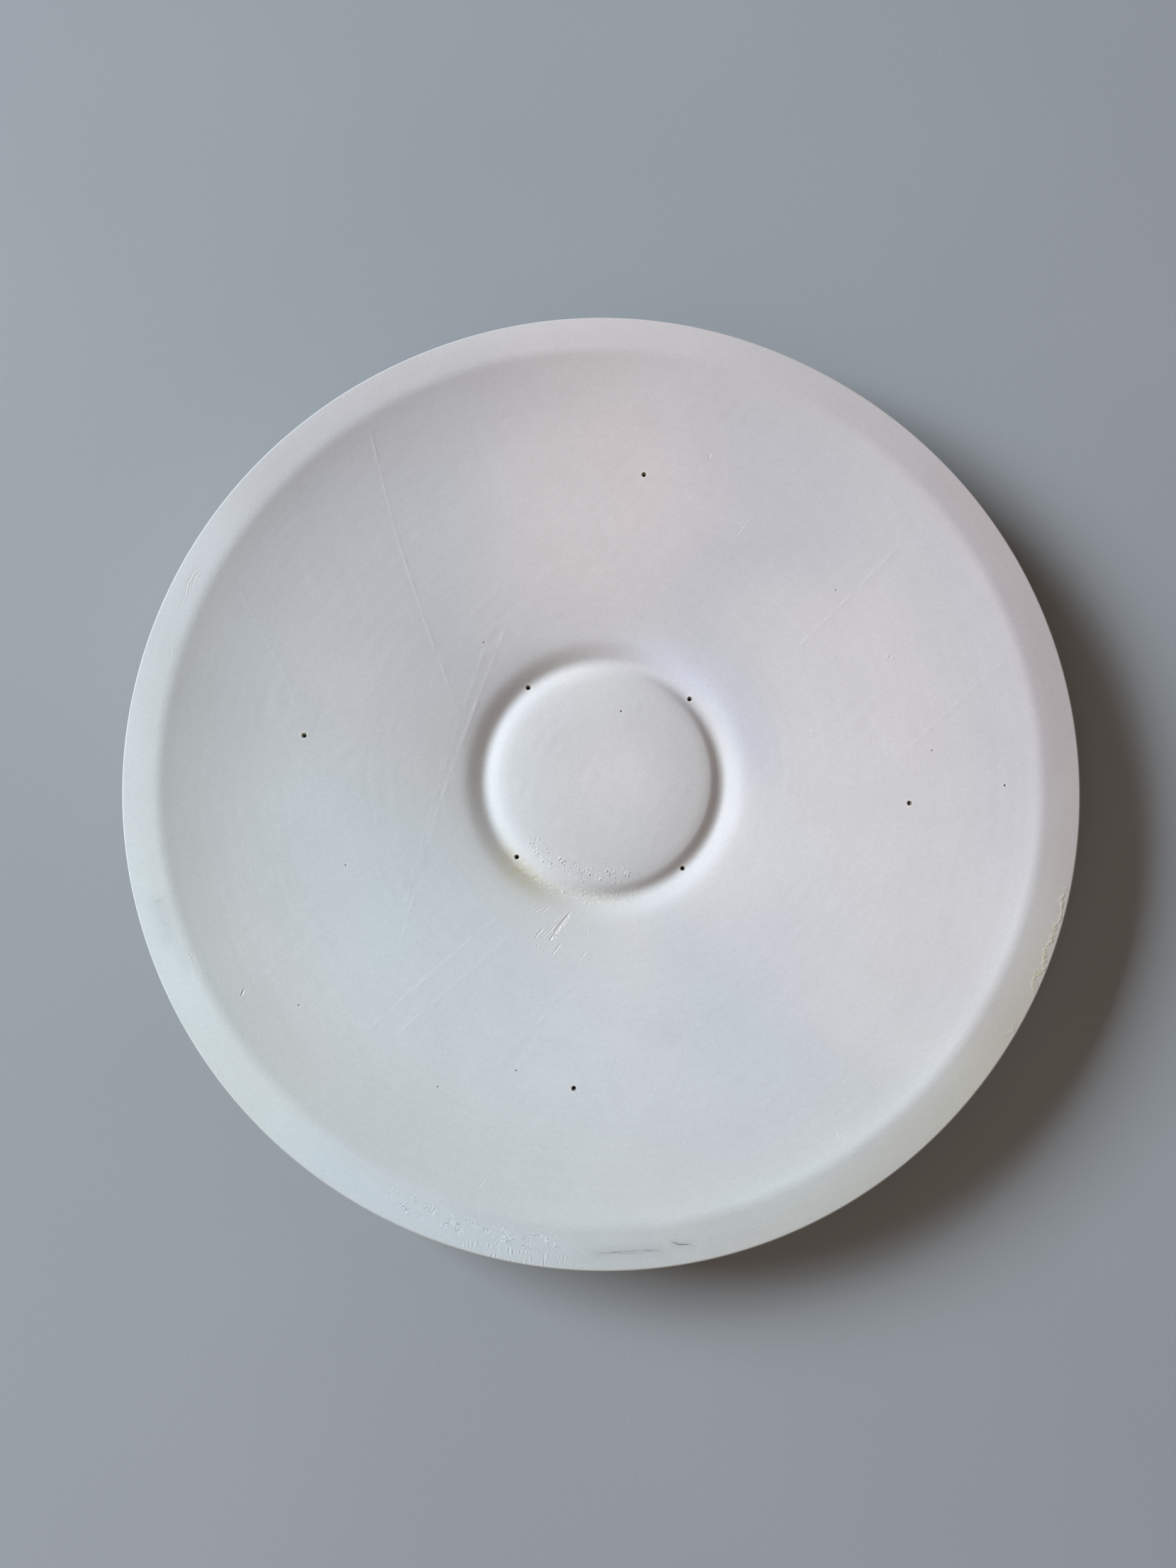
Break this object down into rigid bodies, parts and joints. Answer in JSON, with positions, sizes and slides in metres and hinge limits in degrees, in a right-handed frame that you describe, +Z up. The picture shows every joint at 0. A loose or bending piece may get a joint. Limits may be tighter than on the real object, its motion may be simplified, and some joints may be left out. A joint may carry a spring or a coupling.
{
  "type": "slumping mould",
  "caption": "Round shallow ceramic forming mould: dished face, bevelled rim band, ring groove round a flat middle pad, small vent holes and a chalky white wash.",
  "frame": {"origin": "on the surface that the mould stands on, under the middle of the mould", "axes": "+Z up out of the face, along the axis that the mould is turned about; +X and +Y lie in the shelf's plane"},
  "size_m": [0.5, 0.5, 0.0418],
  "materials": {
    "bisque": "matte, porous, unglazed",
    "release_wash": "matte, chalky, brushed on"
  },
  "bodies": {
    "root": {"mould_body": "bisque", "wash_coat": "release_wash"}
  },
  "joints": []
}
